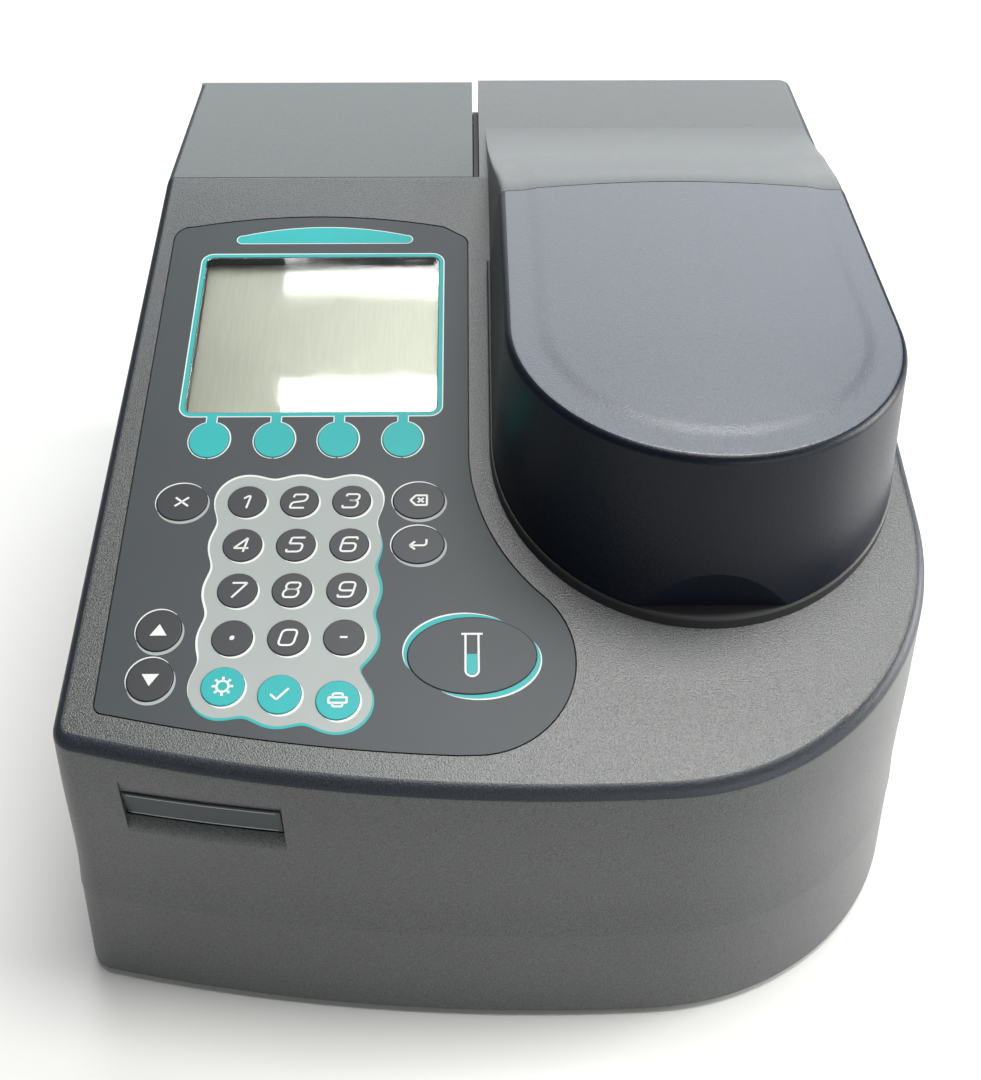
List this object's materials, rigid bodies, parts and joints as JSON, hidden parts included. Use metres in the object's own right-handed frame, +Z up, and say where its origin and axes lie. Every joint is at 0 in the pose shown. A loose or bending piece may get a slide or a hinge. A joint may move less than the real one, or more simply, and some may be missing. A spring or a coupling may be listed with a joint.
{
  "type": "bench spectrophotometer",
  "caption": "Bench spectrophotometer with a sloped keypad deck and display, a hinged lid over a turning cell carrier and a hinged bay cover.",
  "frame": {"origin": "on the table, at the bottom centre of the whole instrument", "axes": "+X to the right seen from the front, +Y to the rear, +Z up"},
  "size_m": [0.3296, 0.4064, 0.2249],
  "materials": {
    "housing_grey": "fine moulded texture, satin",
    "lid_grey": "fine moulded texture, satin",
    "overlay_dark": "satin printed film",
    "key_dark": "satin printed film",
    "key_teal": "satin printed film",
    "window_clear": "clear, glossy",
    "display_grey": "satin",
    "black_plastic": "matt",
    "rubber_foot": "matt",
    "sheet_steel": "zinc plated sheet",
    "steel_pin": "ground",
    "cast_aluminium": "cast",
    "board_green": "solder mask",
    "lamp_glass": "clear",
    "grating_mirror": "ruled mirror"
  },
  "bodies": {
    "housing": {"upper_housing": "housing_grey", "base_pan": "sheet_steel", "rear_panel": "sheet_steel", "keypad_overlay": "overlay_dark", "keypad_board": "board_green", "lcd_window": "window_clear", "lcd_module": "display_grey", "badge_plate": "overlay_dark", "sample_well": "black_plastic", "lid_hinge_pin": "steel_pin", "cover_hinge_pin": "steel_pin", "printer_bay": "black_plastic", "turret_motor": "steel_pin", "optical_bench": "cast_aluminium", "grating_motor": "steel_pin", "lamp_bulb": "lamp_glass", "lamp_housing": "sheet_steel", "lamp_lens": "lamp_glass", "detector_board": "board_green", "main_board": "board_green", "power_supply": "sheet_steel", "power_inlet": "black_plastic", "fan_frame": "black_plastic", "serial_port": "sheet_steel", "parallel_port": "sheet_steel", "foot_front_left": "rubber_foot", "foot_front_right": "rubber_foot", "foot_rear_left": "rubber_foot", "foot_rear_right": "rubber_foot"},
    "lid": {"sample_lid": "lid_grey"},
    "bay_cover": {"printer_cover": "housing_grey"},
    "turret": {"cell_turret": "black_plastic"},
    "rocker": {"power_rocker": "black_plastic"},
    "fan": {"fan_rotor": "black_plastic"},
    "grating": {"diffraction_grating": "grating_mirror"},
    "key_soft_1": {"key_soft_1": "key_teal"},
    "key_soft_2": {"key_soft_2": "key_teal"},
    "key_soft_3": {"key_soft_3": "key_teal"},
    "key_soft_4": {"key_soft_4": "key_teal"},
    "key_1": {"key_1": "key_dark"},
    "key_2": {"key_2": "key_dark"},
    "key_3": {"key_3": "key_dark"},
    "key_4": {"key_4": "key_dark"},
    "key_5": {"key_5": "key_dark"},
    "key_6": {"key_6": "key_dark"},
    "key_7": {"key_7": "key_dark"},
    "key_8": {"key_8": "key_dark"},
    "key_9": {"key_9": "key_dark"},
    "key_point": {"key_point": "key_dark"},
    "key_0": {"key_0": "key_dark"},
    "key_minus": {"key_minus": "key_dark"},
    "key_utility": {"key_utility": "key_teal"},
    "key_test": {"key_test": "key_teal"},
    "key_print": {"key_print": "key_teal"},
    "key_esc": {"key_esc": "key_dark"},
    "key_clear": {"key_clear": "key_dark"},
    "key_enter": {"key_enter": "key_dark"},
    "key_up": {"key_up": "key_dark"},
    "key_down": {"key_down": "key_dark"},
    "key_sample": {"key_sample": "key_dark"}
  },
  "joints": [
    {"name": "lid_hinge", "type": "hinge", "parent": "housing", "child": "lid", "pos_m": [0.0711, 0.0345, 0.21454], "axis": [-1, 0, 0], "range_deg": [0, 75]},
    {"name": "bay_cover_hinge", "type": "hinge", "parent": "housing", "child": "bay_cover", "pos_m": [-0.0125, 0.1975, 0.2021], "axis": [-1, 0, 0], "range_deg": [0, 75]},
    {"name": "turret_spin", "type": "hinge", "parent": "housing", "child": "turret", "pos_m": [0.0711, -0.045, 0.103], "axis": [0, 0, 1], "continuous": true},
    {"name": "grating_turn", "type": "hinge", "parent": "housing", "child": "grating", "pos_m": [0.0331, 0.15, 0.094], "axis": [0, 0, 1], "range_deg": [-12, 12]},
    {"name": "rocker_tilt", "type": "hinge", "parent": "housing", "child": "rocker", "pos_m": [-0.123, 0.199, 0.069], "axis": [-1, 0, 0], "range_deg": [0, 16]},
    {"name": "fan_spin", "type": "hinge", "parent": "housing", "child": "fan", "pos_m": [0.09, 0.19, 0.062], "axis": [0, 1, 0], "continuous": true},
    {"name": "key_soft_1_press", "type": "slide", "parent": "housing", "child": "key_soft_1", "axis": [0, -0.2723, 0.9622], "range_m": [-0.0008, 0], "stiffness_N_per_m": 400, "springref_m": 0.0008},
    {"name": "key_soft_2_press", "type": "slide", "parent": "housing", "child": "key_soft_2", "axis": [0, -0.2723, 0.9622], "range_m": [-0.0008, 0], "stiffness_N_per_m": 400, "springref_m": 0.0008},
    {"name": "key_soft_3_press", "type": "slide", "parent": "housing", "child": "key_soft_3", "axis": [0, -0.2723, 0.9622], "range_m": [-0.0008, 0], "stiffness_N_per_m": 400, "springref_m": 0.0008},
    {"name": "key_soft_4_press", "type": "slide", "parent": "housing", "child": "key_soft_4", "axis": [0, -0.2723, 0.9622], "range_m": [-0.0008, 0], "stiffness_N_per_m": 400, "springref_m": 0.0008},
    {"name": "key_1_press", "type": "slide", "parent": "housing", "child": "key_1", "axis": [0, -0.2723, 0.9622], "range_m": [-0.0008, 0], "stiffness_N_per_m": 400, "springref_m": 0.0008},
    {"name": "key_2_press", "type": "slide", "parent": "housing", "child": "key_2", "axis": [0, -0.2723, 0.9622], "range_m": [-0.0008, 0], "stiffness_N_per_m": 400, "springref_m": 0.0008},
    {"name": "key_3_press", "type": "slide", "parent": "housing", "child": "key_3", "axis": [0, -0.2723, 0.9622], "range_m": [-0.0008, 0], "stiffness_N_per_m": 400, "springref_m": 0.0008},
    {"name": "key_4_press", "type": "slide", "parent": "housing", "child": "key_4", "axis": [0, -0.2723, 0.9622], "range_m": [-0.0008, 0], "stiffness_N_per_m": 400, "springref_m": 0.0008},
    {"name": "key_5_press", "type": "slide", "parent": "housing", "child": "key_5", "axis": [0, -0.2723, 0.9622], "range_m": [-0.0008, 0], "stiffness_N_per_m": 400, "springref_m": 0.0008},
    {"name": "key_6_press", "type": "slide", "parent": "housing", "child": "key_6", "axis": [0, -0.2723, 0.9622], "range_m": [-0.0008, 0], "stiffness_N_per_m": 400, "springref_m": 0.0008},
    {"name": "key_7_press", "type": "slide", "parent": "housing", "child": "key_7", "axis": [0, -0.2723, 0.9622], "range_m": [-0.0008, 0], "stiffness_N_per_m": 400, "springref_m": 0.0008},
    {"name": "key_8_press", "type": "slide", "parent": "housing", "child": "key_8", "axis": [0, -0.2723, 0.9622], "range_m": [-0.0008, 0], "stiffness_N_per_m": 400, "springref_m": 0.0008},
    {"name": "key_9_press", "type": "slide", "parent": "housing", "child": "key_9", "axis": [0, -0.2723, 0.9622], "range_m": [-0.0008, 0], "stiffness_N_per_m": 400, "springref_m": 0.0008},
    {"name": "key_point_press", "type": "slide", "parent": "housing", "child": "key_point", "axis": [0, -0.2723, 0.9622], "range_m": [-0.0008, 0], "stiffness_N_per_m": 400, "springref_m": 0.0008},
    {"name": "key_0_press", "type": "slide", "parent": "housing", "child": "key_0", "axis": [0, -0.2723, 0.9622], "range_m": [-0.0008, 0], "stiffness_N_per_m": 400, "springref_m": 0.0008},
    {"name": "key_minus_press", "type": "slide", "parent": "housing", "child": "key_minus", "axis": [0, -0.2723, 0.9622], "range_m": [-0.0008, 0], "stiffness_N_per_m": 400, "springref_m": 0.0008},
    {"name": "key_utility_press", "type": "slide", "parent": "housing", "child": "key_utility", "axis": [0, -0.2723, 0.9622], "range_m": [-0.0008, 0], "stiffness_N_per_m": 400, "springref_m": 0.0008},
    {"name": "key_test_press", "type": "slide", "parent": "housing", "child": "key_test", "axis": [0, -0.2723, 0.9622], "range_m": [-0.0008, 0], "stiffness_N_per_m": 400, "springref_m": 0.0008},
    {"name": "key_print_press", "type": "slide", "parent": "housing", "child": "key_print", "axis": [0, -0.2723, 0.9622], "range_m": [-0.0008, 0], "stiffness_N_per_m": 400, "springref_m": 0.0008},
    {"name": "key_esc_press", "type": "slide", "parent": "housing", "child": "key_esc", "axis": [0, -0.2723, 0.9622], "range_m": [-0.0008, 0], "stiffness_N_per_m": 400, "springref_m": 0.0008},
    {"name": "key_clear_press", "type": "slide", "parent": "housing", "child": "key_clear", "axis": [0, -0.2723, 0.9622], "range_m": [-0.0008, 0], "stiffness_N_per_m": 400, "springref_m": 0.0008},
    {"name": "key_enter_press", "type": "slide", "parent": "housing", "child": "key_enter", "axis": [0, -0.2723, 0.9622], "range_m": [-0.0008, 0], "stiffness_N_per_m": 400, "springref_m": 0.0008},
    {"name": "key_up_press", "type": "slide", "parent": "housing", "child": "key_up", "axis": [0, -0.2723, 0.9622], "range_m": [-0.0008, 0], "stiffness_N_per_m": 400, "springref_m": 0.0008},
    {"name": "key_down_press", "type": "slide", "parent": "housing", "child": "key_down", "axis": [0, -0.2723, 0.9622], "range_m": [-0.0008, 0], "stiffness_N_per_m": 400, "springref_m": 0.0008},
    {"name": "key_sample_press", "type": "slide", "parent": "housing", "child": "key_sample", "axis": [0, -0.2723, 0.9622], "range_m": [-0.0008, 0], "stiffness_N_per_m": 400, "springref_m": 0.0008}
  ]
}
